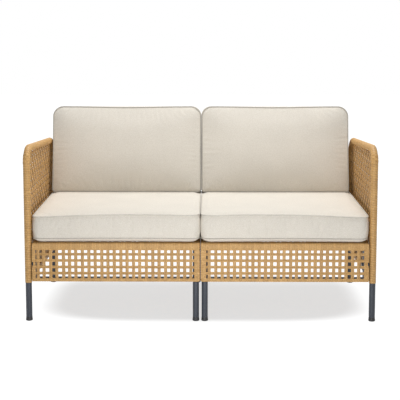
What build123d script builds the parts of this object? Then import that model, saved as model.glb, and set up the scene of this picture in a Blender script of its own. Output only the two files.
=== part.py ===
from build123d import *

import math
import os

# The part is a two-seat patio sofa in two mirrored modules that stand side by side.
# Each module has a woven seat base, one woven arm, a woven back, a seat cushion and a back cushion.
# Millimetres, +Z up, the front faces -Y, and the left module is the one at -X.

# Size and place of a module
module_width = 702.0
module_gap = 4.0
rear_post_depth = 630.0
deck_height = 320.0
arm_height = 715.0
arm_slope = 3.0
back_height = 690.0
back_recline = 6.0

# Steel tubes: round legs and bends, square seat rails
tube_diameter = 25.0
rail_size = 20.0
stretcher_size = 15.0
deck_bar_shares = (1 / 3, 2 / 3)
arm_front_bend = 59.0
arm_rear_bend = 82.0
arm_knee_bend = 150.0
back_bend = 58.0
post_foot = 10.0

# Woven covers: strands laid along the tubes and wound, and flat nets of square gaps
wrap_thickness = 1.5
wrap_clearance = 0.2
wrap_strand_count = 10
wrap_start_height = 157.0
weave_thickness = 3.0
weave_pitch = 25.0
strand_width = 9.4
roll_round = 8.0
apron_bottom_height = 163.0
apron_bottom_band = 12.6
apron_top_band = 19.4
apron_outer_band = 17.0
apron_inner_band = 26.0
panel_step_count = 4
deck_step_count = 6
net_border = 9.0
least_gap_share = 0.3

# Gaps between separate pieces
arm_gap = 2.0
seat_clearance = 0.3

# Feet
foot_height = 9.0
foot_diameter = 28.0
foot_side_count = 12

# Bolts, spacers and plugs
bolt_diameter = 8.0
bolt_side_count = 8
bolt_hole_clearance = 0.4
bolt_head_height = 5.3
bolt_head_width = 13.0
bolt_notch_clearance = 2.25
arm_bolt_height = 233.0
back_bolt_share = 0.6
rail_bolt_inset = 150.0
spacer_width = 16.0
plug_width = 12.0
plug_thickness = 1.8

# Seat cushion
seat_cushion_depth = 608.0
seat_cushion_arm_gap = 7.0
seat_cushion_inner_gap = 3.0
seat_cushion_front = 1.0
seat_cushion_corner = 34.0
seat_cushion_draw = 5.0
seat_bottom_seam = 18.0
seat_bottom_tuck = 12.0
seat_top_seam = 114.0
seat_cushion_height = 120.5
seat_crown_run = 26.0

# Back cushion
back_cushion_length = 367.0
back_cushion_thickness = 105.0
back_cushion_arm_gap = 6.0
back_cushion_inner_gap = 8.0
back_cushion_lean = 11.0
back_cushion_corner = 44.0
back_cushion_draw = 7.0
back_seam_inset = 14.0
back_tuck = 12.0
back_crown_run = 30.0

# Values that follow from the sizes above
tube_radius = tube_diameter / 2
wrap_radius = tube_radius + wrap_thickness
rail_edge = weave_thickness + wrap_clearance
stretcher_half = stretcher_size / 2

inner_edge_x = -module_gap / 2
arm_x = inner_edge_x - module_width + wrap_radius
arm_inner_x = arm_x + wrap_radius
seat_edge_x = arm_inner_x + arm_gap
seat_leg_x = inner_edge_x - rail_edge - tube_radius
back_outer_x = arm_inner_x + arm_gap + wrap_radius
back_inner_x = inner_edge_x - wrap_radius

arm_front_y = wrap_radius
seat_leg_y = rail_edge + tube_radius
rear_y = rear_post_depth
frame_back_y = rear_y + tube_radius
seat_rail_top = deck_height - rail_edge
seat_rail_bottom = seat_rail_top - rail_size
back_rail_z = seat_rail_top + seat_clearance + wrap_radius
stretcher_z = wrap_start_height + stretcher_half + rail_edge
back_length = (back_height - wrap_radius - back_rail_z) / math.cos(math.radians(back_recline))
back_bolt_height = back_rail_z + back_bolt_share * (back_height - back_rail_z)
seat_cushion_width = inner_edge_x - seat_cushion_inner_gap - arm_inner_x - seat_cushion_arm_gap
back_cushion_width = inner_edge_x - back_cushion_inner_gap - arm_inner_x - back_cushion_arm_gap

os.makedirs("parts", exist_ok=True)


def post_y(z):
    """Depth of the reclined posts' centre line at height z."""
    return rear_y + (z - back_rail_z) * math.tan(math.radians(back_recline))


def wound_tube(path):
    """Tube with its winding. The strands that lie along it under the winding give its flats."""
    start = Plane(origin=path @ 0, z_dir=path % 0)
    return sweep(start * RegularPolygon(wrap_radius, wrap_strand_count), path=path)


def round_tube(x, y, low_z, high_z):
    """Upright round tube."""
    return extrude(Plane((x, y, low_z)) * Circle(tube_radius), amount=high_z - low_z)


def block(low, high):
    """Box between two opposite corners."""
    size = [b - a for a, b in zip(low, high)]
    return Pos(*low) * Box(*size, align=(Align.MIN, Align.MIN, Align.MIN))


def grid_net(outline, field, pitch, gap, columns, rows):
    """Flat face with a pattern of square gaps. The gaps are cut short where they would leave the field."""
    middle = field.bounding_box().center()
    gaps = []
    for i in range(columns):
        for j in range(rows):
            x = middle.X + (i - (columns - 1) / 2) * pitch
            y = middle.Y + (j - (rows - 1) / 2) * pitch
            clipped = (Pos(x, y) * Rectangle(gap, gap)) & field
            gaps += [face for face in clipped.faces() if face.area > least_gap_share * gap**2]
    return Face(outline.face().outer_wire(), [face.outer_wire() for face in gaps])


def even_net(outline, field, step_count):
    """Flat net whose gaps fill the field. It keeps one strand in step_count of the real weave."""
    size = field.bounding_box().size
    pitch = step_count * weave_pitch
    columns = math.ceil(size.X / pitch)
    rows = math.ceil(size.Y / pitch)
    return grid_net(outline, field, pitch, pitch - strand_width, columns, rows)


def inside(open_part):
    """What a net's solid border leaves of its open part."""
    return offset(open_part.face(), amount=-net_border, kind=Kind.INTERSECTION)


def bolt_plane(place):
    """Plane through the underside of a bolt's head, looking along its shank."""
    return Plane(origin=place[0], z_dir=place[1])


def drilled(shape, places):
    """A shape with the clearance holes of the bolts that pass through it or end in it."""
    hole = RegularPolygon(bolt_diameter / 2 + bolt_hole_clearance, bolt_side_count, major_radius=False)
    for place in places:
        shape -= extrude(bolt_plane(place) * hole, amount=place[2] + bolt_hole_clearance)
    return shape


def bolt(place):
    """Hexagon-head bolt. Its head's underside is at the start and its shank runs along the direction."""
    head = RegularPolygon(bolt_head_width / 2, 6, major_radius=False)
    shank = RegularPolygon(bolt_diameter / 2, bolt_side_count, major_radius=False)
    plane = bolt_plane(place)
    return extrude(plane * head, amount=-bolt_head_height) + extrude(plane * shank, amount=place[2])


# Bolts of the left module: underside of the head, direction and shank length
arm_bolt_head_x = seat_edge_x + rail_edge + rail_size + seat_clearance
arm_bolts = [
    ((arm_bolt_head_x, y, arm_bolt_height), (-1, 0, 0), arm_bolt_head_x - arm_x)
    for y in (arm_front_y, rear_y)
]
back_bolt_head_x = back_outer_x + wrap_radius + seat_clearance
back_side_bolt = (
    (back_bolt_head_x, post_y(back_bolt_height), back_bolt_height),
    (-1, 0, 0),
    back_bolt_head_x - arm_x,
)
rail_bolt_head_z = seat_rail_bottom - seat_clearance
rail_bolts = [
    ((x, rear_y, rail_bolt_head_z), (0, 0, 1), back_rail_z - rail_bolt_head_z)
    for x in (back_outer_x + rail_bolt_inset, back_inner_x - rail_bolt_inset)
]


def arm_path(low_z):
    """Centre line of the arm loop: front leg, sloped rail, reclined rear post, knee and rear leg."""
    slope = math.tan(math.radians(arm_slope))
    recline = math.tan(math.radians(back_recline))
    front_z = arm_height - wrap_radius
    rise = front_z + arm_front_y * slope - back_rail_z
    corner_y = (rear_y + rise * recline) / (1 + slope * recline)
    corner_z = front_z - (corner_y - arm_front_y) * slope
    return FilletPolyline(
        (arm_x, arm_front_y, low_z),
        (arm_x, arm_front_y, front_z),
        (arm_x, corner_y, corner_z),
        (arm_x, rear_y, back_rail_z),
        (arm_x, rear_y, low_z),
        radius=[arm_front_bend, arm_rear_bend, arm_knee_bend],
    )


def back_plane():
    """Reclined plane of the back: local X is X, local Y runs up the posts."""
    angle = math.radians(back_recline)
    towards_front = (0, -math.cos(angle), math.sin(angle))
    return Plane(origin=(0, rear_y, back_rail_z), x_dir=(1, 0, 0), z_dir=towards_front)


def make_seat_frame():
    """Welded base: two full legs at the inner end, two short uprights at the arm, rails and deck bars."""
    left = seat_edge_x + rail_edge
    right = inner_edge_x - rail_edge
    frame = block((left, rail_edge, seat_rail_bottom), (right, frame_back_y, seat_rail_top))
    frame -= block(
        (left + rail_size, rail_edge + rail_size, seat_rail_bottom),
        (right - rail_size, frame_back_y - rail_size, seat_rail_top),
    )
    for y in (seat_leg_y, rear_y):
        frame += round_tube(seat_leg_x, y, foot_height, seat_rail_bottom)
    for y in (rail_edge, frame_back_y - rail_size):
        frame += block((left, y, apron_bottom_height), (left + rail_size, y + rail_size, seat_rail_bottom))
    low = apron_bottom_height + wrap_thickness
    frame += block((left, rail_edge, low), (seat_leg_x, rail_edge + stretcher_size, low + stretcher_size))
    for share in deck_bar_shares:
        x = left + (right - left) * share - stretcher_half
        frame += block(
            (x, rail_edge + rail_size, seat_rail_top - stretcher_size),
            (x + stretcher_size, frame_back_y - rail_size, seat_rail_top),
        )
    return drilled(frame, arm_bolts + rail_bolts)


def make_front_apron():
    """Open net under the front rail, rolled over the rail at its top."""
    width = inner_edge_x - seat_edge_x
    height = deck_height - roll_round - apron_bottom_height
    low = Pos(seat_edge_x, apron_bottom_height)
    outline = low * Rectangle(width, height, align=(Align.MIN, Align.MIN))
    net_width = width - apron_outer_band - apron_inner_band
    net_height = height - apron_bottom_band - apron_top_band
    net_low = low * Pos(apron_outer_band, apron_bottom_band)
    field = net_low * Rectangle(net_width, net_height, align=(Align.MIN, Align.MIN))
    face = even_net(outline, field, 1)
    sheet = extrude(Plane.XZ * face, amount=-weave_thickness)
    depth = rail_edge + rail_size
    roll_z = deck_height - roll_round
    turn = Pos(roll_round, roll_z) * Circle(roll_round)
    leaf = Pos((roll_round + depth) / 2, roll_z) * Rectangle(depth - roll_round, 2 * roll_round)
    inside_z = seat_rail_top + wrap_clearance - depth / 2
    inside = Pos(weave_thickness + depth / 2, inside_z) * Rectangle(depth, depth)
    below = Pos(0, roll_z - roll_round) * Rectangle(2 * depth, 2 * roll_round)
    roll = (turn + leaf) - inside - below
    return sheet + extrude(Plane.YZ.offset(seat_edge_x) * roll, amount=width)


def make_seat_deck():
    """Net that carries the cushion, turned down over both side rails."""
    front = rail_edge + rail_size + seat_clearance
    back = rear_y - wrap_radius - seat_clearance
    width = inner_edge_x - seat_edge_x
    middle = Pos((seat_edge_x + inner_edge_x) / 2, (front + back) / 2)
    outline = middle * Rectangle(width, back - front)
    bed = middle * Rectangle(width - 2 * (rail_size + rail_edge), back - front)
    face = even_net(outline, inside(bed), deck_step_count)
    deck = extrude(Plane.XY.offset(deck_height - weave_thickness) * face, amount=weave_thickness)
    for x in (seat_edge_x, inner_edge_x - weave_thickness):
        deck += block((x, front, seat_rail_bottom), (x + weave_thickness, back, deck_height))
    return deck


def make_arm_legs():
    """Bare ends of the arm's bent tube, which come out under its winding."""
    return Compound([round_tube(arm_x, y, foot_height, wrap_start_height) for y in (arm_front_y, rear_y)])


def make_arm_loop():
    """Bent tube of the arm with its winding, from just above the bare ends."""
    return drilled(wound_tube(arm_path(wrap_start_height)), arm_bolts + [back_side_bolt])


def make_arm_panel():
    """Open net that fills the arm's loop, rolled round the stretcher at its foot."""
    edge = wrap_radius + seat_clearance
    path = arm_path(stretcher_z - edge)
    loop = Face(Wire([*path.edges(), Edge.make_line(path @ 1, path @ 0)]))
    flat = Plane.YZ.offset(arm_x).to_local_coords(loop)
    outline = offset(flat, amount=-edge, kind=Kind.INTERSECTION)
    base = stretcher_z + stretcher_half + rail_edge
    open_part = outline.face() - Pos(0, base / 2) * Rectangle(2 * (arm_height + rear_y), base)
    face = even_net(outline, inside(open_part), panel_step_count)
    panel = extrude(Plane.YZ.offset(arm_x) * face, amount=weave_thickness / 2, both=True)
    half = stretcher_half + rail_edge
    return panel + block(
        (arm_x - half, arm_front_y + edge, stretcher_z - half),
        (arm_x + half, rear_y - edge, stretcher_z + half),
    )


def make_back_loop():
    """Bent U of the back and the rail that closes it at the seat, with their winding."""
    line = FilletPolyline(
        (back_outer_x, -post_foot),
        (back_outer_x, back_length),
        (back_inner_x, back_length),
        (back_inner_x, -post_foot),
        radius=back_bend,
    )
    rail = Line((back_outer_x, rear_y, back_rail_z), (back_inner_x, rear_y, back_rail_z))
    return drilled(wound_tube(back_plane() * line) + wound_tube(rail), rail_bolts + [back_side_bolt])


def make_back_panel():
    """Open net that fills the back's frame, with a notch round the side bolt's head."""
    edge = wrap_radius + seat_clearance
    width = back_inner_x - back_outer_x - 2 * edge
    height = back_length - 2 * edge
    rectangle = Rectangle(width, height)
    upper = rectangle.vertices().sort_by(Axis.Y)[2:]
    outline = Pos((back_outer_x + back_inner_x) / 2, edge + height / 2) * fillet(upper, back_bend - edge)
    face = even_net(outline, inside(outline), panel_step_count)
    panel = extrude(back_plane() * face, amount=weave_thickness / 2, both=True)
    notch = Circle(bolt_head_width / 2 + bolt_notch_clearance)
    return panel - extrude(bolt_plane(back_side_bolt) * notch, amount=-bolt_head_height - seat_clearance)


def make_foot_caps():
    """Plastic caps under the four legs."""
    cap = extrude(RegularPolygon(foot_diameter / 2, foot_side_count), amount=foot_height)
    feet = [(arm_x, arm_front_y), (arm_x, rear_y), (seat_leg_x, seat_leg_y), (seat_leg_x, rear_y)]
    return Compound([Pos(x, y, 0) * cap for x, y in feet])


def make_arm_spacers():
    """Spacers between the seat base's uprights and the arm, round the arm bolts."""
    start = seat_edge_x + rail_edge - seat_clearance
    length = start - arm_inner_x - seat_clearance
    hole = bolt_diameter / 2 + bolt_hole_clearance
    ring = RegularPolygon(spacer_width / 2, bolt_side_count)
    ring -= RegularPolygon(hole, bolt_side_count, major_radius=False)
    section = Plane(origin=(start, 0, arm_bolt_height), z_dir=(-1, 0, 0)) * ring
    spacer = extrude(section, amount=length)
    return Compound([Pos(0, y, 0) * spacer for y in (arm_front_y, rear_y)])


def make_end_plugs():
    """Plugs in the unused bolt holes of the inner legs."""
    start = seat_leg_x + tube_radius + wrap_clearance
    disc = RegularPolygon(plug_width / 2, bolt_side_count)
    plug = extrude(Plane(origin=(start, 0, arm_bolt_height), z_dir=(1, 0, 0)) * disc, amount=plug_thickness)
    return Compound([Pos(0, y, 0) * plug for y in (seat_leg_y, rear_y)])


def pillow_section(width, height, corner, draw, inset):
    """Rounded rectangle whose sides pull in between its corners by the draw."""
    w = width / 2 - inset
    h = height / 2 - inset
    r = corner - inset
    c = r * (1 - math.sqrt(0.5))
    edges = []
    for sx, sy in ((1, 1), (-1, 1), (-1, -1), (1, -1)):
        start = (sx * w, sy * (h - r)) if sx * sy > 0 else (sx * (w - r), sy * h)
        end = (sx * (w - r), sy * h) if sx * sy > 0 else (sx * w, sy * (h - r))
        edges.append(ThreePointArc(start, (sx * (w - c), sy * (h - c)), end))
        side = (0, sy * (h - draw)) if sx * sy > 0 else (sx * (w - draw), 0)
        after = (-sx * (w - r), sy * h) if sx * sy > 0 else (sx * w, -sy * (h - r))
        edges.append(ThreePointArc(end, side, after))
    return make_face(edges)


def pillow(width, height, corner, draw, levels):
    """Crowned cushion through sections at the given levels, each with its inset."""
    sections = [Pos(0, 0, z) * pillow_section(width, height, corner, draw, inset) for z, inset in levels]
    return loft(sections, ruled=True)


def make_seat_cushion():
    """Boxed cushion: flat underneath, straight boxing between two seams, and a low crown on top."""
    levels = [
        (0, seat_bottom_tuck),
        (seat_bottom_seam, 0),
        (seat_top_seam, 0),
        (seat_cushion_height, seat_crown_run),
    ]
    cushion = pillow(seat_cushion_width, seat_cushion_depth, seat_cushion_corner, seat_cushion_draw, levels)
    x = arm_inner_x + seat_cushion_arm_gap + seat_cushion_width / 2
    y = seat_cushion_front + seat_cushion_depth / 2
    return Pos(x, y, deck_height + seat_clearance) * cushion


def make_back_cushion():
    """Boxed cushion that leans on the back's top rail and stands flat on the seat cushion."""
    lean = math.radians(back_cushion_lean)
    thickness = back_cushion_thickness
    sunk = thickness * math.tan(lean) + back_seam_inset
    length = back_cushion_length + sunk
    levels = [
        (0, back_tuck),
        (back_seam_inset, 0),
        (thickness - back_seam_inset, 0),
        (thickness, back_crown_run),
    ]
    cushion = pillow(back_cushion_width, length, back_cushion_corner, back_cushion_draw, levels)
    foot_z = deck_height + seat_clearance + seat_cushion_height + seat_clearance
    top_rail_z = back_height - wrap_radius
    reach = (wrap_radius + seat_clearance) / math.cos(lean) + (top_rail_z - foot_z) * math.tan(lean)
    rear_foot_y = post_y(top_rail_z) - reach
    x = arm_inner_x + back_cushion_arm_gap + back_cushion_width / 2
    plane = Plane(
        origin=(x, rear_foot_y, foot_z),
        x_dir=(1, 0, 0),
        z_dir=(0, -math.cos(lean), math.sin(lean)),
    )
    cushion = plane * Pos(0, length / 2 - sunk, 0) * cushion
    room = back_cushion_width + length + thickness
    low = (x - room, rear_foot_y - room, foot_z)
    return cushion & block(low, (x + room, rear_foot_y + room, foot_z + room))


left_pieces = {
    "seat_frame": make_seat_frame(),
    "front_apron": make_front_apron(),
    "seat_deck": make_seat_deck(),
    "arm_legs": make_arm_legs(),
    "arm_loop": make_arm_loop(),
    "arm_panel": make_arm_panel(),
    "back_loop": make_back_loop(),
    "back_panel": make_back_panel(),
    "foot_caps": make_foot_caps(),
    "arm_bolts": Compound([bolt(place) for place in arm_bolts]),
    "arm_spacers": make_arm_spacers(),
    "back_bolts": Compound([bolt(place) for place in rail_bolts + [back_side_bolt]]),
    "end_plugs": make_end_plugs(),
    "seat_cushion": make_seat_cushion(),
    "back_cushion": make_back_cushion(),
}

# The origin is the middle of the whole part's box, on the floor
boxes = [piece.bounding_box() for piece in left_pieces.values()]
middle_y = (min(box.min.Y for box in boxes) + max(box.max.Y for box in boxes)) / 2
floor_z = min(box.min.Z for box in boxes)

for name, piece in left_pieces.items():
    placed = Pos(0, -middle_y, -floor_z) * piece
    export_step(placed, f"parts/left_{name}.step")
    export_step(mirror(placed, about=Plane.YZ), f"parts/right_{name}.step")
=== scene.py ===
import math

import bpy
import numpy as np
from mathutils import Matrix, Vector
from mathutils.kdtree import KDTree


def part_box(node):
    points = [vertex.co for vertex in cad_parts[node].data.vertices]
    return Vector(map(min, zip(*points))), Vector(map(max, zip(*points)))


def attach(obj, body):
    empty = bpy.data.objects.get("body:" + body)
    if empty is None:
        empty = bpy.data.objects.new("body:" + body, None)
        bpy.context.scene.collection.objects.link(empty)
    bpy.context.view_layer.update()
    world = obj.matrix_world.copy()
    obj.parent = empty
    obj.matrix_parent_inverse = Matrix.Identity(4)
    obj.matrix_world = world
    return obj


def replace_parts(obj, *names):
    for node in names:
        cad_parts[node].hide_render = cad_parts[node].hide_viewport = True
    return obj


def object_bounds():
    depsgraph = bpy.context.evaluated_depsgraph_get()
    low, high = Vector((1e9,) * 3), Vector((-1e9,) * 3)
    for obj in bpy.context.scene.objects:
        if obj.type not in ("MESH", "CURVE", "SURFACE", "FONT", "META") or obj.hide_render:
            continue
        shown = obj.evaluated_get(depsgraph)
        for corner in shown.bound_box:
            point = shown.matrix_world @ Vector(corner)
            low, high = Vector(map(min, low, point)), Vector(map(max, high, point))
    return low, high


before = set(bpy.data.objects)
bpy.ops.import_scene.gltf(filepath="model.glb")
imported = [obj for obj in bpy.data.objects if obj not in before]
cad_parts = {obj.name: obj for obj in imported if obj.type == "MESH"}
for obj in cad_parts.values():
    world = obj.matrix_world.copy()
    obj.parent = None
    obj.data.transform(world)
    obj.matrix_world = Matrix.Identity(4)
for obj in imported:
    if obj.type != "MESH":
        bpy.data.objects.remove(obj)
cad_low, cad_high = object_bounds()

# Everything is in metres. The front of the woven aprons is the front plane, and all depths start there.
front_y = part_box("left_front_apron")[0].y
rng = np.random.default_rng(7)

# Sizes of the frame, as in the model
tube_radius = 0.0125
wrap_radius = 0.014
arm_front_bend = 0.059
arm_rear_bend = 0.082
arm_knee_bend = 0.150
back_bend = 0.058
arm_slope = math.radians(3.0)
back_recline = math.radians(6.0)
rear_depth = 0.630
rail_size = 0.020
rail_edge = 0.0032
stretcher_half = 0.0075
seat_clearance = 0.0003

# Places read from the frame, on the right-hand side of x = 0
arm_x = cad_high.x - wrap_radius
inner_edge_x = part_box("right_front_apron")[0].x
seat_edge_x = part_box("right_front_apron")[1].x
deck_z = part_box("left_seat_deck")[1].z
apron_low_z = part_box("left_front_apron")[0].z
wrap_start_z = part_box("left_arm_loop")[0].z
arm_top_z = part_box("left_arm_loop")[1].z - wrap_radius
back_top_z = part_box("left_back_loop")[1].z - wrap_radius
back_outer_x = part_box("right_back_loop")[1].x - wrap_radius
back_inner_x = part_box("right_back_loop")[0].x + wrap_radius
seat_rail_top = deck_z - rail_edge
back_rail_z = seat_rail_top + seat_clearance + wrap_radius
stretcher_z = wrap_start_z + stretcher_half + rail_edge

# Strands: the section is a share of the width and thickness, and its edges are painted darker as shade
strand_thickness = 0.0016
arm_strand_thickness = 0.0036
strand_profile = np.array([
    (-0.5, 0.2), (-0.42, 0.5), (0.42, 0.5), (0.5, 0.2), (0.5, -0.2), (0.42, -0.5), (-0.42, -0.5), (-0.5, -0.2),
])
# 1 marks the points at the edges of the section, which get painted shade
shaded_strand_edges = np.array([1, 0, 0, 1, 1, 0, 0, 1])
strand_tone_low = 0.4
# Painted shade on strand edges, as a share of each strand's tone: darkest on the arms' upright strands, so their
# holes look dark
net_edge_painted_shade = 0.55
arm_edge_painted_shade = 0.12
plain_tone = 0.5

# Nets: pairs of strands, with small random changes of width and place
pitch = 0.0250
pair_width = 0.0112
pair_width_low, pair_width_spread = 0.94, 0.1
pair_shift = 0.0006
pair_fill = 0.96
pair_lift = 0.55
steps_per_gap = 6

# Windings round tubes and rails, with dark joints between their turns
winding_pitch = 0.0096
winding_depth = 0.0008
winding_step = 0.0009
wound_sides = 36
turn_tone_low = 0.55
joint_width = 0.0010
joint_shade = 0.85
bar_joint_shade = 0.5
bar_sides = 24
bar_squareness = 0.42
bar_end_steps = np.array([0, 0.0008, 0.0022, 0.0045])
bar_end_length = bar_end_steps[-1]
bar_end_round = 0.004
bar_turns_from = 0.0075
bar_least_half = 0.0004

# Arms: the net's first upright as a share of the pitch, its rows, and the strands crossed round the front bend
arm_outline_step = 0.004
arm_first_upright = 0.2
arm_first_row = 0.022
arm_last_row = 0.020
arm_middle_depth = 0.3
knuckle_z = arm_top_z - 0.042
knuckle_reach = 0.034
knuckle_strands = ((0.0, 1), (2.1, 1), (4.2, 1), (1.0, -1), (3.1, -1), (5.2, -1))
knuckle_turn = 1.8 * math.pi
knuckle_steps = 60
knuckle_width = 0.0062
knuckle_thickness = 0.0013
knuckle_lift = 0.0001
knuckle_tone_low = 0.8

# Backs and deck
back_foot = 0.010
back_row_margin = 0.016
deck_side_margin = 0.03
deck_first_row = 0.008
deck_last_row = 0.006
deck_net_drop = 0.0018
deck_net_inset = 0.004
deck_roll_inset = 0.0005

# Front nets: bands are their closely wound edges
apron_upright_width = 0.0132
apron_row_pitch = 0.0258
apron_rows = 5
apron_first_row = 0.034
apron_outer_band = {"left": 0.0152, "right": 0.0206}
apron_inner_band = 0.022
apron_top_band = 0.0305
apron_low_band = 0.0135
apron_low_depth = 0.0042
apron_end_depth = 0.0040
apron_end_front = 0.0002
apron_end_inset = 0.001
apron_overlap = 0.004
apron_net_inset = 0.003
apron_net_behind = 0.0008
apron_net_depth = 2.1 * strand_thickness
apron_corner = 0.010

# The two modules' windings meet behind the front, near x = 0; they are painted dark as the shade in the slit between
# the modules
meeting_x = 0.0003
meeting_depths = (0.004, 0.012)
meeting_inset = 0.002
meeting_painted_shade = 0.12

# Uprights of both front nets, from each net's inner end: the left one has a slit at its outer end
apron_uprights = {
    "left": np.concatenate([[0.0355], 0.0601 + 0.02556 * np.arange(23), [0.6465]]),
    "right": np.concatenate([[0.0348], 0.0607 + 0.02475 * np.arange(24)]),
}
spacer_z = (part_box("left_arm_spacers")[0].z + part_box("left_arm_spacers")[1].z) / 2
spacer_notch = 0.0050
spacer_notch_half = 0.0085

# Cushions
seat_corner = 0.030
seat_draw = 0.003
seat_low_seam = 0.018
seat_high_seam = 0.114
back_lean = math.radians(11.0)
back_thickness = 0.105
back_front_seam = 0.024
back_length_clear = 0.370
back_corner = 0.044
back_low_corner = 0.012
back_side_room = {"left": 0.001, "right": 0.009}
cushion_inner_x = 0.0041
arm_room = 0.0015
neighbour_room = {"seat": 0.0003, "back": 0.0002}
seat_outer_room = 0.0005
seat_top_room = 0.0015
seat_rise_room = 0.0002
piping_radius = 0.0026
piping_out = 0.0012
piping_sides = 10
edge_round = 0.007

# Sunk places at the front of the seat cushions: depth and reach
outer_sag = (0.010, 0.19)
inner_sag = (0.003, 0.06)
inner_sag_inset = 0.06

# Cushion mesh: how far each ring of a panel lies out from its middle, and the steps round and up its sides
panel_scales = np.array([
    0.04, 0.14, 0.26, 0.38, 0.5, 0.6, 0.69, 0.76, 0.82, 0.87, 0.905, 0.93, 0.95, 0.965, 0.978, 0.988, 0.996,
])
corner_steps = 14
side_steps = 110
boxing_steps = 13
crown_power = 2.4
swell_power = 0.8

# Folds at the seams: their wave, reach and start, how slack the cover is along them, and their share in the boxing
fold_wave = 0.030
fold_reach = 0.020
fold_start = 0.004
ripple_orders = (0.6, 1.5)
slack_wave = 0.4
slack_low = 0.35
side_zone = 0.05
far_zone = 0.03
boxing_fold = 0.35
boxing_fold_fade = 5

# Where the back cushion leans on the back's top rail, and how far its rear sinks in away from the rail
rail_contact = 0.022
rail_fade = 0.06
rear_sink = 0.010

# Cloth simulation of the covers
voxel = 0.006
cloth_frames = 20
cloth_pressure = 4.0
cloth_quality = 4
held_reach = 0.004
held_fade = 0.006

# Feet: radius and height of their outline
glide_profile = np.array([
    (0.0040, 0.0000), (0.0105, 0.0001), (0.0126, 0.0008), (0.0138, 0.0024), (0.0140, 0.0046), (0.0136, 0.0068),
    (0.0130, 0.0090), (0.0129, 0.0150), (0.0127, 0.0158), (0.0120, 0.0158),
])
glide_sides = 40


# Materials

def node_material(name, roughness):
    """New material with its nodes, links and shader."""
    material = bpy.data.materials.new(name)
    material.use_nodes = True
    nodes = material.node_tree.nodes
    shader = nodes["Principled BSDF"]
    shader.inputs["Roughness"].default_value = roughness
    return material, nodes, material.node_tree.links, shader


def noise(nodes, links, coordinate, scale, detail=3.0, stretch=(1, 1, 1)):
    mapping = nodes.new("ShaderNodeMapping")
    mapping.inputs["Scale"].default_value = stretch
    links.new(coordinate, mapping.inputs["Vector"])
    texture = nodes.new("ShaderNodeTexNoise")
    texture.inputs["Scale"].default_value = scale
    texture.inputs["Detail"].default_value = detail
    links.new(mapping.outputs["Vector"], texture.inputs["Vector"])
    return texture.outputs["Fac"]


def ramp(nodes, links, factor, stops):
    node = nodes.new("ShaderNodeValToRGB")
    elements = node.color_ramp.elements
    while len(elements) < len(stops):
        elements.new(0.5)
    for element, (position, colour) in zip(elements, stops):
        element.position = position
        element.color = (*colour, 1)
    links.new(factor, node.inputs["Fac"])
    return node.outputs["Color"]


def multiply(nodes, links, first, second):
    node = nodes.new("ShaderNodeMix")
    node.data_type = "RGBA"
    node.blend_type = "MULTIPLY"
    node.inputs["Factor"].default_value = 1.0
    links.new(first, node.inputs["A"])
    links.new(second, node.inputs["B"])
    return node.outputs["Result"]


def bump(nodes, links, height, strength, distance):
    node = nodes.new("ShaderNodeBump")
    node.inputs["Strength"].default_value = strength
    node.inputs["Distance"].default_value = distance
    links.new(height, node.inputs["Height"])
    return node.outputs["Normal"]


def linear(red, green, blue):
    """Linear colour from 8-bit sRGB."""
    def channel(value):
        share = value / 255
        return share / 12.92 if share <= 0.04045 else ((share + 0.055) / 1.055) ** 2.4
    return channel(red), channel(green), channel(blue)


def wicker_material():
    """Flat plastic strands: tan with darker and lighter streaks, each strand its own tone. The tone attribute also
    carries the dark joints and the painted shade on strand edges and on the winding in the slit between the modules.
    """
    material, nodes, links, shader = node_material("wicker", roughness=0.5)
    place = nodes.new("ShaderNodeTexCoord").outputs["Object"]
    streaks = noise(nodes, links, place, scale=260.0, detail=4.0)
    colour = ramp(nodes, links, streaks, [
        (0.25, linear(184, 138, 80)),
        (0.50, linear(209, 165, 101)),
        (0.75, linear(225, 184, 122)),
    ])
    tone = nodes.new("ShaderNodeAttribute")
    tone.attribute_name = "tone"
    # Tone to colour: low tones are the dark joints and the painted shade
    shade = ramp(nodes, links, tone.outputs["Fac"], [
        (0.0, (0.20, 0.16, 0.12)), (0.3, (0.76, 0.72, 0.66)), (1.0, (1.0, 1.0, 1.0)),
    ])
    links.new(multiply(nodes, links, colour, shade), shader.inputs["Base Color"])
    grain = noise(nodes, links, place, scale=900.0, detail=2.0)
    links.new(bump(nodes, links, grain, strength=0.25, distance=0.0004), shader.inputs["Normal"])
    return material


def fabric_material(name, share=1.0):
    """Cream outdoor cloth with a fine plain weave and a faint heather. Share darkens it, as painted shade."""
    material, nodes, links, shader = node_material(name, roughness=0.85)
    place = nodes.new("ShaderNodeTexCoord").outputs["Object"]
    heather = noise(nodes, links, place, scale=420.0)
    colour = ramp(nodes, links, heather, [
        (0.30, linear(221, 214, 201)),
        (0.55, linear(233, 227, 216)),
        (0.75, linear(240, 235, 226)),
    ])
    cloud = ramp(nodes, links, noise(nodes, links, place, scale=9.0, detail=2.0), [
        (0.3, (0.965 * share,) * 3), (0.7, (share,) * 3),
    ])
    links.new(multiply(nodes, links, colour, cloud), shader.inputs["Base Color"])
    weave = nodes.new("ShaderNodeTexVoronoi")
    weave.inputs["Scale"].default_value = 1100.0
    links.new(place, weave.inputs["Vector"])
    woven = bump(nodes, links, weave.outputs["Distance"], strength=0.35, distance=0.0003)
    links.new(woven, shader.inputs["Normal"])
    shader.inputs["Sheen Weight"].default_value = 0.15
    shader.inputs["Specular IOR Level"].default_value = 0.25
    return material


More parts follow.
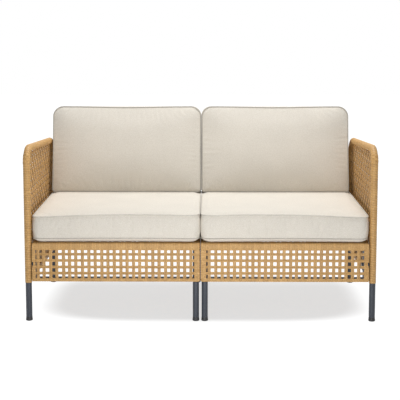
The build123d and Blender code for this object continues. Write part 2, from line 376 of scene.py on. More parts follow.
def coated_material(name, colour, roughness, coat_bump):
    """Powder-coated steel or moulded plastic with a fine orange peel. Its colour has random darker and lighter
    vertical streaks; the lighter streaks are painted highlights.
    """
    material, nodes, links, shader = node_material(name, roughness)
    place = nodes.new("ShaderNodeTexCoord").outputs["Object"]
    streaks = noise(nodes, links, place, scale=120.0, stretch=(1, 1, 0.04))
    # Darker and lighter vertical streaks: the lighter ones are painted highlights along the tubes
    dark = tuple(0.82 * c for c in colour)
    light = tuple(1.22 * c for c in colour)
    links.new(ramp(nodes, links, streaks, [(0.3, dark), (0.7, light)]), shader.inputs["Base Color"])
    peel = noise(nodes, links, place, scale=1500.0, detail=1.0)
    links.new(bump(nodes, links, peel, coat_bump, distance=0.0002), shader.inputs["Normal"])
    return material


wicker = wicker_material()
fabric = fabric_material("cushion_cloth")
# Piping cloth painted darker than the cushion cloth as the shade in the creases along the seams, darkest on the back
# cushions, whose bottom seam meets the seat
shaded_piping_cloth = {
    "seat": fabric_material("seat_piping_shaded_cloth", share=0.80),
    "back": fabric_material("back_piping_shaded_cloth", share=0.66),
}
steel = coated_material("powder_coat", linear(53, 58, 68), roughness=0.42, coat_bump=0.2)
plastic = coated_material("moulded_plastic", linear(38, 38, 40), roughness=0.5, coat_bump=0.3)
bolt_metal = coated_material("black_bolt", linear(45, 46, 50), roughness=0.35, coat_bump=0.1)


# Mesh helpers

def make_piece(name, vertices, faces, material, body, tone=None):
    """New smooth mesh object on a body. Faces are a list of faces or an array of quads."""
    mesh = bpy.data.meshes.new(name)
    if not isinstance(faces, list):
        faces = faces.tolist()
    mesh.from_pydata(np.asarray(vertices).tolist(), [], faces)
    if tone is not None:
        layer = mesh.attributes.new("tone", "FLOAT", "POINT")
        layer.data.foreach_set("value", np.asarray(tone, dtype=np.float32))
    mesh.polygons.foreach_set("use_smooth", np.full(len(mesh.polygons), True))
    mesh.materials.append(material)
    mesh.update()
    piece = bpy.data.objects.new(name, mesh)
    bpy.context.scene.collection.objects.link(piece)
    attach(piece, body)
    return piece


def tube_quads(rings, sides, start=0):
    """Quads of a surface of that many rings with that many sides each, closed round each ring."""
    ring, side = np.meshgrid(np.arange(rings - 1), np.arange(sides), indexing="ij")
    after = (side + 1) % sides
    a = ring * sides + side
    b = ring * sides + after
    return start + np.stack([a, b, b + sides, a + sides], axis=-1).reshape(-1, 4)


def rounded_path(points, radii, step):
    """Points along a plane polyline whose corners are arcs of the given radii."""
    points = [np.array(p, float) for p in points]
    pieces = []
    here = points[0]
    for before, corner, after, radius in zip(points, points[1:], points[2:], radii):
        inward = (before - corner) / np.linalg.norm(before - corner)
        outward = (after - corner) / np.linalg.norm(after - corner)
        half = math.acos(np.clip(inward @ outward, -1, 1)) / 2
        reach = radius / math.tan(half)
        middle = (inward + outward) / np.linalg.norm(inward + outward)
        centre = corner + middle * radius / math.sin(half)
        start, end = corner + inward * reach, corner + outward * reach
        pieces.append(("line", here, start))
        pieces.append(("arc", centre, start, end, radius, math.pi - 2 * half))
        here = end
    pieces.append(("line", here, points[-1]))
    out = []
    for piece in pieces:
        if piece[0] == "line":
            a, b = piece[1:]
            count = max(int(np.linalg.norm(b - a) / step), 1)
            out += [a + (b - a) * i / count for i in range(count)]
        else:
            centre, a, b, radius, angle = piece[1:]
            count = max(int(radius * angle / step), 2)
            turn = np.cross(a - centre, b - centre)
            for i in range(count):
                t = math.copysign(angle * i / count, turn)
                x, y = a - centre
                turned = x * math.cos(t) - y * math.sin(t), x * math.sin(t) + y * math.cos(t)
                out.append(centre + np.array(turned))
    out.append(points[-1])
    return np.array(out)


def along(points):
    """Distance of each point from the first, along the path."""
    return np.concatenate([[0], np.cumsum(np.linalg.norm(np.diff(points, axis=0), axis=1))])


def unit(vectors):
    return vectors / np.linalg.norm(vectors, axis=1, keepdims=True)


def tangents(path):
    return unit(np.gradient(path, axis=0))


def turned_left(tangent):
    """Normals of a plane path with these tangents."""
    return np.stack([-tangent[:, 1], tangent[:, 0]], axis=1)


class Batch:
    """Collects many strands into one mesh."""

    def __init__(self):
        self.vertices, self.quads, self.tone, self.count = [], [], [], 0

    def add(self, rings, tone):
        """rings is an array of rings x sides x 3."""
        n, sides, _ = rings.shape
        self.quads.append(tube_quads(n, sides, self.count))
        flat = rings.reshape(-1, 3)
        self.vertices.append(flat)
        self.tone.append(np.broadcast_to(np.asarray(tone, dtype=float), (n, sides)).reshape(-1))
        self.count += len(flat)

    def strand(self, path, normal, width, thickness, tone, edge_painted_shade):
        """Flat strand with rounded edges along a path, its edges painted darker as shade. Its face looks along the
        normal.
        """
        tangent = tangents(path)
        side = unit(np.cross(tangent, normal))
        face = np.cross(side, tangent)
        self.ribbon(path, side, face, width, thickness, np.where(shaded_strand_edges, edge_painted_shade, tone)[None, :])

    def wrapped(self, path, face, width, thickness, tone):
        """Flat strand whose face direction changes along its path."""
        self.ribbon(path, np.cross(tangents(path), face), face, width, thickness, tone)

    def ribbon(self, path, side, face, width, thickness, tone):
        rings = (
            path[:, None, :]
            + strand_profile[None, :, 0, None] * width * side[:, None, :]
            + strand_profile[None, :, 1, None] * thickness * face[:, None, :]
        )
        self.add(rings, tone)

    def piece(self, name, body, slot="wicker", material=None):
        return make_piece(
            name, np.vstack(self.vertices), np.vstack(self.quads), material or wicker, body,
            np.concatenate(self.tone),
        )


def winding(batch, path, place, radius):
    """Flat strand wound round a tube whose centre line lies in a plane. Its turns meet in dark joints."""
    normal = turned_left(tangents(path))
    angle = np.arange(wound_sides) * 2 * math.pi / wound_sides
    turns = (along(path) / winding_pitch)[:, None] + angle[None, :] / (2 * math.pi)
    joint = joint_share(turns)
    r = radius - winding_depth * joint
    in_plane = path[:, None, :] + (r * np.cos(angle)[None, :])[..., None] * normal[:, None, :]
    rings = place(in_plane, r * np.sin(angle)[None, :])
    batch.add(rings, turn_tones(turns) * (1 - joint_shade * joint))


def turn_tones(turns):
    """Random tone of each turn of a winding."""
    tones = turn_tone_low + (1 - turn_tone_low) * rng.random(int(turns.max()) + 2)
    return tones[np.floor(turns).astype(int)]


def joint_share(turns):
    """1 where two turns of a winding meet, 0 in the middle of a turn."""
    return np.exp(-(((turns - np.round(turns)) * winding_pitch / joint_width) ** 2))


def wound_bar(batch, low, high, axis, rounded_end=0.0, shade=1.0):
    """Closely wound bar with rounded edges that fills the box between two corners. Axis is its long direction.
    Rounded_end is the radius that its top bends down with, at its high end, or at its low end if negative.
    Shade darkens its whole colour, as painted shade where the bar lies in a slit."""
    low, high = np.array(low, float), np.array(high, float)
    across = [i for i in range(3) if i != axis]
    centre, half = (low + high) / 2, (high - low) / 2
    length = 2 * half[axis]
    inner = np.linspace(bar_turns_from, length - bar_turns_from, max(int(length / winding_step), 4))
    place = np.concatenate([bar_end_steps, inner, length - bar_end_steps[::-1]])
    angle = (np.arange(bar_sides) + 0.5) * 2 * math.pi / bar_sides
    circle = np.stack([np.cos(angle), np.sin(angle)], axis=1)
    section = np.sign(circle) * np.abs(circle) ** bar_squareness
    turns = place / winding_pitch
    joint = joint_share(turns)
    inset = winding_depth * joint + quarter_drop(np.minimum(place, length - place), bar_end_length, bar_end_round)
    rings = np.empty((len(place), bar_sides, 3))
    rings[..., axis] = (low[axis] + place)[:, None]
    for column, i in enumerate(across):
        rings[..., i] = centre[i] + section[None, :, column] * np.maximum(half[i] - inset, bar_least_half)[:, None]
    if rounded_end:
        radius = abs(rounded_end)
        drop = quarter_drop(place if rounded_end < 0 else length - place, radius, radius)
        top = rings[..., 2] > centre[2]
        rings[..., 2] -= np.where(top, drop[:, None] * (rings[..., 2] - centre[2]) / half[2], 0)
    batch.add(rings, (shade * turn_tones(turns) * (1 - bar_joint_shade * joint))[:, None])


def quarter_drop(distance, length, depth):
    """Drop of a quarter ellipse: depth at its end, where the distance is 0, and none from the length on."""
    return depth * (1 - np.sqrt(1 - (1 - np.clip(distance / length, 0, 1)) ** 2))


def woven_net(
    batch, u_lines, v_lines, u_span, v_span, to_world, normal,
    thickness=strand_thickness, v_width=pair_width, v_edge_painted_shade=net_edge_painted_shade,
):
    """Pairs of strands over and under each other. u_span(v) and v_span(u) give where each pair starts and ends.
    v_width is the width of the pairs along v, and the last argument is the painted shade on their edges, as a share
    of their tone."""
    lift = thickness * pair_lift

    def pair(fixed, span, first, phase, point, pair_wide, edge):
        low, high = span
        if high - low < pitch / 2:
            return
        t = np.linspace(low, high, max(int((high - low) / pitch * steps_per_gap), 4))
        width = pair_wide * (pair_width_low + pair_width_spread * rng.random()) / 2
        shift = pair_shift * rng.normal()
        for side in (-0.5, 0.5):
            height = lift * np.cos(math.pi * ((t - first) / pitch + phase))
            path = point(t, np.full_like(t, fixed + shift + side * width), height)
            tone = strand_tone_low + (1 - strand_tone_low) * rng.random()
            # The edges get painted shade: the strand's tone times the edge share
            batch.strand(path, normal, width * pair_fill, thickness, tone, tone * edge)

    for j, v in enumerate(v_lines):
        pair(v, u_span(v), u_lines[0], j, to_world, pair_width, net_edge_painted_shade)
    for i, u in enumerate(u_lines):
        pair(u, v_span(u), v_lines[0], i + 1, lambda t, f, h: to_world(f, t, h), v_width, v_edge_painted_shade)


def arm_points(low_z):
    """Corners of the arm's centre line as depth and height."""
    slope, recline = math.tan(arm_slope), math.tan(back_recline)
    rise = arm_top_z + wrap_radius * slope - back_rail_z
    corner_y = (rear_depth + rise * recline) / (1 + slope * recline)
    corner_z = arm_top_z - (corner_y - wrap_radius) * slope
    return [
        (wrap_radius, low_z),
        (wrap_radius, arm_top_z),
        (corner_y, corner_z),
        (rear_depth, back_rail_z),
        (rear_depth, low_z),
    ]


arm_radii = [arm_front_bend, arm_rear_bend, arm_knee_bend]


def wrap_knuckle(batch, path, place):
    """Strands crossed round the front post at the start of its bend, where the arm's winding changes direction."""
    distance = along(path)
    first = distance[np.argmax(path[:, 1] > knuckle_z - knuckle_reach / 2)]
    here = np.linspace(first, first + knuckle_reach, knuckle_steps)
    centre = np.column_stack([np.interp(here, distance, path[:, 0]), np.interp(here, distance, path[:, 1])])
    normal = turned_left(tangents(centre))
    middle = place(centre, np.zeros(knuckle_steps))
    for start, climb in knuckle_strands:
        turn = start + climb * np.linspace(0, knuckle_turn, knuckle_steps)
        radial = place(centre + np.cos(turn)[:, None] * normal, np.sin(turn)) - middle
        wound = middle + (wrap_radius + knuckle_lift) * radial
        tone = knuckle_tone_low + (1 - knuckle_tone_low) * rng.random()
        batch.wrapped(wound, radial, knuckle_width, knuckle_thickness, tone)


def build_arm(side, sign):
    body = f"{side}_module"
    x = sign * arm_x
    path = rounded_path(arm_points(wrap_start_z), arm_radii, winding_step)

    def place(in_plane, across):
        return np.stack([x + across, front_y + in_plane[..., 0], in_plane[..., 1]], axis=-1)

    batch = Batch()
    winding(batch, path, place, wrap_radius)
    wrap_knuckle(batch, path, place)
    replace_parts(batch.piece(f"{side}_arm_winding", body), f"{side}_arm_loop")

    outline = rounded_path(arm_points(stretcher_z), arm_radii, arm_outline_step)

    def v_span(depth):
        nearest = outline[np.abs(outline[:, 0] - depth).argsort()[:6]]
        return stretcher_z, nearest[:, 1].max()

    def u_span(height):
        middle = np.searchsorted(outline[:, 0][: len(outline) // 2], arm_middle_depth)
        front_half, back_half = outline[:middle], outline[middle:]
        front = front_half[np.abs(front_half[:, 1] - height).argmin(), 0]
        back = back_half[np.abs(back_half[:, 1] - height).argmin(), 0]
        return front, back

    net = Batch()
    first = 2 * wrap_radius + pair_width / 2
    u_lines = np.arange(first + pitch * arm_first_upright, rear_depth - wrap_radius, pitch)
    v_lines = np.arange(stretcher_z + arm_first_row, arm_top_z - arm_last_row, pitch)
    woven_net(
        net, u_lines, v_lines, u_span, v_span,
        lambda u, v, h: np.stack([x + sign * h, front_y + u, v], axis=-1),
        np.array([1.0, 0, 0]), arm_strand_thickness, v_edge_painted_shade=arm_edge_painted_shade,
    )
    half = stretcher_half + rail_edge
    wound_bar(
        net, (x - half, front_y + 2 * wrap_radius, stretcher_z - half),
        (x + half, front_y + rear_depth - wrap_radius, stretcher_z + half), 1,
    )
    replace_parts(net.piece(f"{side}_arm_net", body), f"{side}_arm_panel")


def build_back(side, sign):
    body = f"{side}_module"
    length = (back_top_z - back_rail_z) / math.cos(back_recline)
    up = np.array([0, math.sin(back_recline), math.cos(back_recline)])
    normal = np.array([0, -math.cos(back_recline), math.sin(back_recline)])
    origin = np.array([0, front_y + rear_depth, back_rail_z])
    x0, x1 = sign * back_outer_x, sign * back_inner_x

    def place(in_plane, across):
        return (
            origin
            + in_plane[..., 0, None] * np.array([1.0, 0, 0])
            + in_plane[..., 1, None] * up
            + across[..., None] * normal
        )

    points = [(x0, -back_foot), (x0, length), (x1, length), (x1, -back_foot)]
    batch = Batch()
    winding(batch, rounded_path(points, [back_bend, back_bend], winding_step), place, wrap_radius)
    winding(batch, rounded_path([(x0, 0), (x1, 0)], [], winding_step), place, wrap_radius)
    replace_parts(batch.piece(f"{side}_back_winding", body), f"{side}_back_loop")

    low, high = min(x0, x1), max(x0, x1)

    def height_at(x):
        inset = min(x - low, high - x)
        if inset >= back_bend:
            return length
        return length - back_bend + math.sqrt(max(back_bend**2 - (back_bend - inset) ** 2, 0))

    def width_at(v):
        over = v - (length - back_bend)
        cut = back_bend - math.sqrt(max(back_bend**2 - over**2, 0)) if over > 0 else 0
        return low + cut, high - cut

    count = int((high - low - 2 * wrap_radius) / pitch)
    middle = (low + high) / 2
    u_lines = middle + (np.arange(count) - (count - 1) / 2) * pitch
    v_lines = np.arange(wrap_radius + back_row_margin, length - back_row_margin, pitch)
    net = Batch()
    woven_net(
        net, u_lines, v_lines, width_at, lambda u: (0, height_at(u)),
        lambda u, v, h: origin + u[:, None] * np.array([1.0, 0, 0]) + v[:, None] * up + h[:, None] * normal,
        normal,
    )
    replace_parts(net.piece(f"{side}_back_net", body), f"{side}_back_panel")


def build_apron(side, sign):
    """Front net between four wound edges. Its top edge is rolled over the front rail, its outer edge leaves room for
    the arm's spacer, and a winding set back from its inner edge meets the other module's. That winding is painted
    dark as the shade in the slit between the modules."""
    outer, inner = sign * seat_edge_x, sign * inner_edge_x
    outer_band, inner_band = outer - sign * apron_outer_band[side], inner + sign * apron_inner_band
    low, high = sorted((outer, inner))
    u_lines = np.sort(inner + sign * apron_uprights[side])
    v_lines = apron_low_z + apron_first_row + np.arange(apron_rows - 1) * apron_row_pitch
    top_z, band_z = deck_z - apron_top_band, apron_low_z + apron_low_band
    net_y = front_y + apron_net_depth / 2 + apron_net_behind

    net = Batch()
    woven_net(
        net, u_lines, v_lines,
        lambda v: (low + apron_net_inset, high - apron_net_inset),
        lambda u: (band_z - apron_overlap, top_z + apron_overlap),
        lambda u, v, h: np.stack([u, net_y - h, v], axis=-1), np.array([0, -1.0, 0]),
        v_width=apron_upright_width,
    )
    roll_back = front_y + 2 * rail_edge + rail_size
    wound_bar(net, (low, front_y, top_z), (high, roll_back, deck_z), 0, rounded_end=sign * apron_corner)
    wound_bar(net, (low, front_y, apron_low_z), (high, front_y + apron_low_depth, band_z), 0)
    notch_edge = outer - sign * spacer_notch
    notch_low, notch_high = spacer_z - spacer_notch_half, spacer_z + spacer_notch_half
    ends_low, ends_high = apron_low_z + apron_end_inset, top_z + apron_overlap
    for edges, z_low, z_high in (
        ((inner, inner_band), ends_low, ends_high),
        ((outer, outer_band), ends_low, notch_low),
        ((notch_edge, outer_band), notch_low - apron_end_inset, notch_high + apron_end_inset),
        ((outer, outer_band), notch_high, ends_high),
    ):
        first, last = sorted(edges)
        wound_bar(net, (first, front_y - apron_end_front, z_low), (last, front_y + apron_end_depth, z_high), 2)
    # The meeting winding is painted dark: it stands in for the shade in the slit between the modules
    first, last = sorted((sign * meeting_x, inner + sign * apron_overlap))
    wound_bar(
        net, (first, front_y + meeting_depths[0], apron_low_z + meeting_inset),
        (last, front_y + meeting_depths[1], deck_z - meeting_inset), 2, shade=meeting_painted_shade,
    )
    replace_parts(net.piece(f"{side}_apron_net", f"{side}_module"), f"{side}_front_apron")


def build_deck(side, sign):
    """Woven bed under the cushion, with the windings of both side rails."""
    body = f"{side}_module"
    lo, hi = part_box(f"{side}_seat_deck")
    net = Batch()
    count = int((hi.x - lo.x - deck_side_margin) / pitch)
    u_lines = (lo.x + hi.x) / 2 + (np.arange(count) - (count - 1) / 2) * pitch
    v_lines = np.arange(lo.y + deck_first_row, hi.y - deck_last_row, pitch)
    z = deck_z - deck_net_drop
    woven_net(
        net, u_lines, v_lines, lambda v: (lo.x + deck_net_inset, hi.x - deck_net_inset), lambda u: (lo.y, hi.y),
        lambda u, v, h: np.stack([u, v, z + h], axis=-1), np.array([0, 0, 1.0]),
    )
    around = rail_size + 2 * rail_edge - deck_roll_inset
    outer, inner = sign * seat_edge_x, sign * meeting_x
    for edge, depth in ((outer, -around), (inner, around + inner_edge_x - meeting_x)):
        first, last = sorted((edge, edge + sign * depth))
        wound_bar(net, (first, lo.y, deck_z - around), (last, hi.y, deck_z), 1)
    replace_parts(net.piece(f"{side}_deck_net", body), f"{side}_seat_deck")


def outline_points(width, height, corners, draws):
    """Rounded rectangle, anticlockwise from the top of its right side. Corners are the radii above and below its
    middle. Draws tell how far its top, left, bottom and right sides pull in between their ends."""
    half = np.array([width / 2, height / 2])
    arcs = []
    for quarter in range(4):
        sign = np.array([1 if quarter in (0, 3) else -1, 1 if quarter < 2 else -1])
        radius = corners[0] if quarter < 2 else corners[1]
        arcs.append((sign * (half - radius), radius))
    points = []
    share = np.linspace(0, 1, side_steps, endpoint=False)[:, None]
    for quarter, (centre, radius) in enumerate(arcs):
        turn = np.radians(90 * quarter + np.linspace(0, 90, corner_steps, endpoint=False))
        points.append(centre + radius * np.column_stack([np.cos(turn), np.sin(turn)]))
        outward = np.array([(0, 1), (-1, 0), (0, -1), (1, 0)][quarter])
        next_centre, next_radius = arcs[(quarter + 1) % 4]
        start, end = centre + radius * outward, next_centre + next_radius * outward
        points.append(start + (end - start) * share - outward * draws[quarter] * np.sin(math.pi * share) ** 2)
    return np.vstack(points)


def ripple(count, length, wave, seed):
    """Smooth random wave round a closed loop, in [-1, 1], about one swell per wave length."""
    local = np.random.default_rng(seed)
    turns = np.arange(count) / count * 2 * math.pi
    middle = length / wave
    total = np.zeros(count)
    for order in range(int(middle * ripple_orders[0]), int(middle * ripple_orders[1])):
        total += local.normal() * np.cos(order * turns + local.random() * 2 * math.pi)
    return total / np.abs(total).max()


def cushion_rings(
    width, length, corners, draws, levels, seams, swell, top_bulge, crowns, puckers, end_folds, sags, seed,
):
    """Rings of a boxed cushion from the middle of its underside to the middle of its top, and its seams.
    Top_bulge adds to the swell at the far end, end_folds is the share of the folds away from the left and right
    sides, and sags are the places (x, y), depths and reaches where the cover sinks."""
    base = outline_points(width, length, corners, draws)
    count = len(base)
    around = np.linalg.norm(np.roll(base, -1, axis=0) - base, axis=1).sum()
    folds = ripple(count, around, fold_wave, seed)
    slack = slack_low + (1 - slack_low) * np.abs(ripple(count, around, slack_wave, seed + 1))
    sideways = np.clip((np.abs(base[:, 0]) - width / 2) / side_zone + 1, 0, 1)
    slack *= end_folds + (1 - end_folds) * sideways
    bulge = 1 + top_bulge * np.clip((base[:, 1] - length / 2) / far_zone + 1, 0, 1)
    radial = unit(base)
    depth = (1 - panel_scales) * min(width, length) / 2
    low, high = levels

    def panel(seam, reach, crown, sign):
        rise = reach * (1 - np.exp(-depth / edge_round)) + crown * (1 - panel_scales**crown_power)
        near = np.exp(-depth / fold_reach) * (1 - np.exp(-depth / fold_start))
        fold = puckers * near[:, None] * (folds * slack)[None, :]
        z = seam + sign * (rise[:, None] + fold)
        flat = panel_scales[:, None, None] * base[None, :, :]
        return np.concatenate([flat, z[..., None]], axis=2)

    under = panel(seams[0], seams[0] - low, 0.0, -1)
    over = panel(seams[1], high - seams[1] - crowns, crowns, 1)[::-1]
    boxing = []
    for share in np.linspace(0, 1, boxing_steps):
        arch = math.sin(math.pi * share)
        near = math.exp(-share * boxing_fold_fade) + math.exp(-(1 - share) * boxing_fold_fade)
        out = swell * arch**swell_power * bulge + boxing_fold * puckers * near * arch * folds * slack
        ring = base + radial * out[:, None]
        boxing.append(np.column_stack([ring, np.full(count, seams[0] + (seams[1] - seams[0]) * share)]))
    rings = np.concatenate([under, np.array(boxing), over])
    loops = [np.column_stack([base, np.full(count, z)]) for z in seams]
    for points in (rings, *loops):
        height = (points[..., 2] - low) / (high - low)
        for x, y, sink, reach in sags:
            distance = np.hypot(points[..., 0] - x, points[..., 1] - y)
            points[..., 2] -= sink * height * np.exp(-((distance / reach) ** 2))
    return rings, loops


def closed_surface(rings):
    """Vertices and faces of rings closed at both ends by fans."""
    count, sides, _ = rings.shape
    vertices = np.vstack([rings.reshape(-1, 3), rings[0].mean(axis=0), rings[-1].mean(axis=0)])
    faces = tube_quads(count, sides).tolist()
    first, last = count * sides, count * sides + 1
    for i in range(sides):
        j = (i + 1) % sides
        faces.append((first, j, i))
        faces.append((last, (count - 1) * sides + i, (count - 1) * sides + j))
    return vertices, faces


def seam_tube(path, radius, lift_axis):
    """Closed tube along a loop of points."""
    tangent = unit(np.roll(path, -1, axis=0) - np.roll(path, 1, axis=0))
    side = unit(np.cross(tangent, lift_axis))
    lift = np.cross(side, tangent)
    angle = np.linspace(0, 2 * math.pi, piping_sides, endpoint=False)
    rings = (
        path[:, None, :]
        + radius * np.cos(angle)[None, :, None] * side[:, None, :]
        + radius * np.sin(angle)[None, :, None] * lift[:, None, :]
    )
    return np.concatenate([rings, rings[:1]])


def mesh_points(mesh):
    points = np.empty(len(mesh.vertices) * 3)
    mesh.vertices.foreach_get("co", points)
    return points.reshape(-1, 3)


def nearest_distance(points, targets):
    tree = KDTree(len(targets))
    for i, target in enumerate(targets):
        tree.insert(target, i)
    tree.balance()
    return np.array([tree.find(point)[2] for point in points])


def remeshed(piece):
    """The piece's mesh rebuilt from even voxels."""
    modifier = piece.modifiers.new("voxels", "REMESH")
    modifier.mode = "VOXEL"
    modifier.voxel_size = voxel
    mesh = bpy.data.meshes.new_from_object(piece.evaluated_get(bpy.context.evaluated_depsgraph_get()))
    piece.modifiers.clear()
    piece.data = mesh


def add_cloth(piece, seam_points, stiff, spare):
    """Cloth on the piece. It is held at its seams and has a little more fabric than its shape needs."""
    points = mesh_points(piece.data)
    far = nearest_distance(points, seam_points)
    group = piece.vertex_groups.new(name="held")
    held = np.clip(1 - (far - held_reach) / held_fade, 0, 1)
    for i in np.flatnonzero(held):
        group.add([int(i)], float(held[i]), "REPLACE")
    cloth = piece.modifiers.new("cloth", "CLOTH")
    settings = cloth.settings
    settings.quality = cloth_quality
    settings.vertex_group_mass = "held"
    settings.use_pressure = True
    settings.uniform_pressure_force = cloth_pressure
    settings.shrink_min = -spare
    settings.bending_stiffness = stiff
    settings.effector_weights.gravity = 0
    cloth.collision_settings.use_collision = False
    cloth.point_cache.frame_start = 1
    cloth.point_cache.frame_end = cloth_frames


def inflate(covers):
    """Runs the cloth of all the covers together, then keeps its result within each one's cap and limits. What a
    cushion rests on is below its rest_z, and there its cover doesn't rise."""
    scene = bpy.context.scene
    starts = {}
    for cover in covers:
        remeshed(cover["piece"])
        starts[cover["piece"].name] = mesh_points(cover["piece"].data)
        add_cloth(cover["piece"], cover["seams"], cover["stiffness"], cover["spare"])
    for frame_number in range(1, cloth_frames + 1):
        scene.frame_set(frame_number)
    graph = bpy.context.evaluated_depsgraph_get()
    for cover in covers:
        piece = cover["piece"]
        moved = mesh_points(piece.evaluated_get(graph).to_mesh())
        piece.modifiers.clear()
        before = starts[piece.name]
        step = moved - before
        size = np.linalg.norm(step, axis=1, keepdims=True)
        capped = cover["cap"] * np.tanh(size / cover["cap"])
        after = before + step * capped / np.maximum(size, 1e-9)
        resting = before[:, 2] < cover["rest_z"]
        after[resting, 2] = np.minimum(after[resting, 2], before[resting, 2])
        piece.data.vertices.foreach_set("co", cover["limit"](after).ravel())
        piece.data.update()
    scene.frame_set(1)


def build_cushion(side, name, place, lift_axis, limit, cap, stiffness, spare, fill, rest_z, shape):
    """Cover and piping of a cushion, and what the cloth step needs to know. Place takes points from the cushion's
    own axes to the frame, and limit keeps them out of its neighbours."""
    body = f"{side}_{'seat' if name == 'seat' else 'back_rest'}"
    rings, loops = cushion_rings(**shape)
    vertices, faces = closed_surface(rings)
    vertices = limit(place(vertices))
    cover = make_piece(f"{side}_{name}_cover", vertices, faces, fabric, body)
    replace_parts(cover, f"{side}_{name}_cushion")
    loops = [limit(place(loop)) for loop in loops]
    trim = Batch()
    for loop in loops:
        outward = unit(loop - loop.mean(axis=0))
        trim.add(seam_tube(loop + outward * piping_out, piping_radius, lift_axis), plain_tone)
    # The piping takes the cloth painted darker as shade along the seams
    trim.piece(f"{side}_{name}_piping", body, "cushion_fabric", shaded_piping_cloth[name])
    return {
        "piece": cover, "seams": np.vstack(loops), "limit": limit, "cap": cap, "stiffness": stiffness,
        "spare": spare, "fill": fill, "rest_z": rest_z,
    }


def build_cushions(side, sign):
    """Seat and back cushion. Each keeps clear of the arm, of its neighbour and of what it rests on."""
    outer_limit = arm_x - wrap_radius - arm_room
    seat_low, seat_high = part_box(f"{side}_seat_cushion")

    def seat_limit(points):
        out = points.copy()
        out[:, 0] = sign * np.clip(sign * out[:, 0], neighbour_room["seat"], outer_limit)
        out[:, 2] = np.clip(out[:, 2], seat_low.z, seat_high.z + seat_rise_room)
        return out

    seat_outer = abs(seat_low.x + seat_high.x) - cushion_inner_x - seat_outer_room
    seat_width = seat_outer - cushion_inner_x
    seat_length = seat_high.y - seat_low.y
    seat_centre = np.array([
        sign * (seat_outer + cushion_inner_x) / 2, (seat_low.y + seat_high.y) / 2, seat_low.z,
    ])
    left_draw, right_draw = (0.0, seat_draw) if sign > 0 else (seat_draw, 0.0)
    seat = build_cushion(
        side, "seat", lambda local: local + seat_centre, np.array([0, 0, 1.0]), seat_limit,
        cap=0.006, stiffness=0.8, spare=0.006, fill=0.8, rest_z=seat_low.z + seat_low_seam,
        shape={
            "width": seat_width, "length": seat_length, "corners": (seat_corner, seat_corner),
            "draws": (seat_draw, left_draw, seat_draw, right_draw),
            "levels": (0.0, seat_high.z - seat_low.z - seat_top_room),
            "seams": (seat_low_seam, seat_high_seam), "swell": 0.0046, "top_bulge": 0.0, "crowns": 0.0015,
            "puckers": 0.0008, "end_folds": 1.0, "seed": 40 + sign,
            "sags": [
                (sign * seat_width / 2, -seat_length / 2, *outer_sag),
                (-sign * (seat_width / 2 - inner_sag_inset), -seat_length / 2, *inner_sag),
            ],
        },
    )

    low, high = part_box(f"{side}_back_cushion")
    up = np.array([0, math.sin(back_lean), math.cos(back_lean)])
    normal = np.array([0, -math.cos(back_lean), math.sin(back_lean)])
    sunk = (back_thickness - back_front_seam) * math.tan(back_lean) - piping_radius
    length = back_length_clear + sunk
    back_outer = max(abs(low.x), abs(high.x)) - back_side_room[side]
    rail_height = back_top_z - seat_high.z
    rail_y = front_y + rear_depth + (back_top_z - back_rail_z) * math.tan(back_recline)
    foot_y = rail_y - wrap_radius / math.cos(back_lean) - rail_height * math.tan(back_lean)
    origin = np.array([sign * (back_outer + cushion_inner_x) / 2, foot_y, low.z])

    def back_place(local):
        return (
            origin
            + local[:, :1] * np.array([1.0, 0, 0])
            + (local[:, 1:2] + length / 2 - sunk) * up
            + local[:, 2:] * normal
        )

    def back_limit(points):
        out = points.copy()
        out[:, 0] = sign * np.clip(sign * out[:, 0], neighbour_room["back"], outer_limit)
        offset = out - origin
        behind = offset @ normal
        height = offset @ up
        from_rail = np.abs(height - rail_height / math.cos(back_lean))
        room = rear_sink * np.clip((from_rail - rail_contact) / rail_fade, 0, 1)
        out += np.maximum(-room - behind, 0)[:, None] * normal
        out[:, 2] = np.maximum(out[:, 2], low.z)
        return out

    back = build_cushion(
        side, "back", back_place, normal, back_limit,
        cap=0.008, stiffness=1.4, spare=0.002, fill=0.85, rest_z=low.z,
        shape={
            "width": back_outer - cushion_inner_x, "length": length, "corners": (back_corner, back_low_corner),
            "draws": (0.004, 0.001, 0.0, 0.001), "levels": (0.003, back_thickness),
            "seams": (0.022, back_thickness - back_front_seam), "swell": 0.006, "top_bulge": 0.7,
            "crowns": 0.020, "puckers": 0.0036, "end_folds": 0.15, "sags": [], "seed": 80 + sign,
        },
    )
    return [seat, back]


def build_glides(side):
    """Moulded feet: a sleeve on the tube's end that flares to a rounded foot."""
    angle = np.linspace(0, 2 * math.pi, glide_sides, endpoint=False)
    lo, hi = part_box(f"{side}_foot_caps")
    radius = glide_profile[:, 0].max()
    batch = Batch()
    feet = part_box(f"{side}_arm_legs")
    for x in (lo.x + radius, hi.x - radius):
        at_arm = feet[0].x < x < feet[1].x
        front = front_y + (wrap_radius if at_arm else rail_edge + tube_radius)
        for y in (front, front_y + rear_depth):
            rings = np.stack([
                x + glide_profile[:, :1] * np.cos(angle)[None, :],
                y + glide_profile[:, :1] * np.sin(angle)[None, :],
                np.repeat(glide_profile[:, 1:], glide_sides, axis=1),
            ], axis=-1)
            batch.add(rings, plain_tone)
    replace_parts(batch.piece(f"{side}_glides", f"{side}_module", "foot_plastic", plastic), f"{side}_foot_caps")


covers = []
for side, sign in (("left", -1), ("right", 1)):
    build_glides(side)
    build_arm(side, sign)
    build_back(side, sign)
    build_apron(side, sign)
    build_deck(side, sign)
    covers += build_cushions(side, sign)
    for node, material in (
        ("seat_frame", steel), ("arm_legs", steel), ("arm_spacers", plastic),
        ("end_plugs", plastic), ("arm_bolts", bolt_metal), ("back_bolts", bolt_metal),
    ):
        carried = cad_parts[f"{side}_{node}"]
        carried.data.materials.clear()
        carried.data.materials.append(material)


inflate(covers)


# Studio: floor, lights and camera

ambient_strength = 0.28

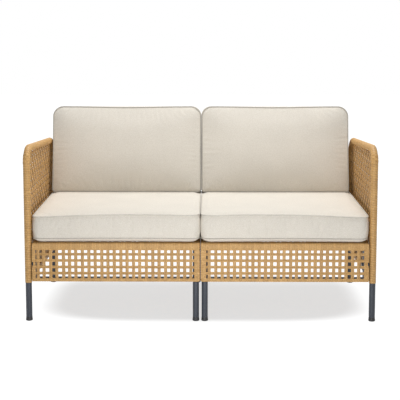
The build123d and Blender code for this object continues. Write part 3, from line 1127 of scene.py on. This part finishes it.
# The floor is white but for a patch under the sofa, a rounded rectangle given by its middle and half size
floor_half = 14.0
floor_tone = 0.85
floor_glow = 1.09
patch_x = (0.02, 0.675)
patch_y = (0.045, 0.380)
patch_power = 4.0
patch_edge = (0.88, 1.12)
patch_glow = 0.615

# Where the photo was taken from, before the front plane
camera_lens = 88.0
camera_shift = -0.15
camera_x = 0.033
camera_distance = 3.827
camera_height = 1.151
camera_pitch = 6.22
camera_yaw = 0.51


def camera_or_gloss(nodes, links):
    """1 for rays from the camera and from glossy surfaces, which see the plain white background."""
    path = nodes.new("ShaderNodeLightPath")
    either = nodes.new("ShaderNodeMath")
    either.operation = "MAXIMUM"
    links.new(path.outputs["Is Camera Ray"], either.inputs[0])
    links.new(path.outputs["Is Glossy Ray"], either.inputs[1])
    return either.outputs["Value"]


def patch_distance(nodes, links):
    """1 on the edge of a rounded rectangle on the floor, less inside it."""
    split = nodes.new("ShaderNodeSeparateXYZ")
    links.new(nodes.new("ShaderNodeNewGeometry").outputs["Position"], split.inputs["Vector"])

    def maths(operation, first, second):
        node = nodes.new("ShaderNodeMath")
        node.operation = operation
        links.new(first, node.inputs[0])
        if isinstance(second, float):
            node.inputs[1].default_value = second
        else:
            links.new(second, node.inputs[1])
        return node.outputs["Value"]

    parts = []
    for axis, (middle, half) in (("X", patch_x), ("Y", patch_y)):
        share = maths("DIVIDE", maths("SUBTRACT", split.outputs[axis], middle), half)
        parts.append(maths("POWER", maths("MULTIPLY", share, share), patch_power / 2))
    return maths("POWER", maths("ADD", *parts), 1 / patch_power)


def add_floor():
    half = floor_half
    mesh = bpy.data.meshes.new("floor")
    mesh.from_pydata([(-half, -half, 0), (half, -half, 0), (half, half, 0), (-half, half, 0)], [], [(0, 1, 2, 3)])
    material, nodes, links, shader = node_material("studio_floor", roughness=0.9)
    shader.inputs["Base Color"].default_value = (floor_tone, floor_tone, floor_tone, 1)
    shader.inputs["Specular IOR Level"].default_value = 0.0
    distance = patch_distance(nodes, links)
    fade = nodes.new("ShaderNodeMapRange")
    fade.interpolation_type = "SMOOTHSTEP"
    fade.inputs["From Min"].default_value = patch_edge[0]
    fade.inputs["From Max"].default_value = patch_edge[1]
    fade.inputs["To Min"].default_value = patch_glow
    fade.inputs["To Max"].default_value = 1.0
    links.new(distance, fade.inputs["Value"])
    white = nodes.new("ShaderNodeEmission")
    white.inputs["Strength"].default_value = floor_glow
    mix = nodes.new("ShaderNodeMixShader")
    seen = nodes.new("ShaderNodeMath")
    seen.operation = "MULTIPLY"
    links.new(fade.outputs["Result"], seen.inputs[0])
    links.new(camera_or_gloss(nodes, links), seen.inputs[1])
    links.new(seen.outputs["Value"], mix.inputs["Fac"])
    links.new(shader.outputs["BSDF"], mix.inputs[1])
    links.new(white.outputs["Emission"], mix.inputs[2])
    links.new(mix.outputs["Shader"], nodes["Material Output"].inputs["Surface"])
    mesh.materials.append(material)
    floor = bpy.data.objects.new("floor", mesh)
    bpy.context.scene.collection.objects.link(floor)


def add_light(name, place, target, size, power):
    data = bpy.data.lights.new(name, "AREA")
    data.shape = "SQUARE"
    data.size = size
    data.energy = power
    light = bpy.data.objects.new(name, data)
    light.location = place
    light.visible_camera = False
    light.rotation_euler = (Vector(target) - Vector(place)).to_track_quat("-Z", "Y").to_euler()
    bpy.context.scene.collection.objects.link(light)


def add_world():
    world = bpy.data.worlds.new("studio")
    bpy.context.scene.world = world
    world.use_nodes = True
    nodes, links = world.node_tree.nodes, world.node_tree.links
    background = nodes["Background"]
    background.inputs["Color"].default_value = (1, 1, 1, 1)
    strength = nodes.new("ShaderNodeMapRange")
    strength.inputs["To Min"].default_value = ambient_strength
    strength.inputs["To Max"].default_value = 1.0
    links.new(camera_or_gloss(nodes, links), strength.inputs["Value"])
    links.new(strength.outputs["Result"], background.inputs["Strength"])


def add_camera():
    data = bpy.data.cameras.new("camera")
    camera = bpy.data.objects.new("camera", data)
    data.sensor_width = 36.0
    data.lens = camera_lens
    data.shift_y = camera_shift
    camera.location = (camera_x, front_y - camera_distance, camera_height)
    camera.rotation_euler = (math.radians(90 - camera_pitch), 0, math.radians(camera_yaw))
    bpy.context.scene.collection.objects.link(camera)
    bpy.context.scene.camera = camera


add_floor()
add_light("overhead", place=(0.2, 0.1, 3.3), target=(0, 0, 0.4), size=2.0, power=80)
add_light("floor_bounce", place=(0, -1.5, 0.05), target=(0, -0.5, 1.5), size=1.2, power=26)
add_world()
add_camera()
bpy.context.scene.view_settings.view_transform = "Standard"
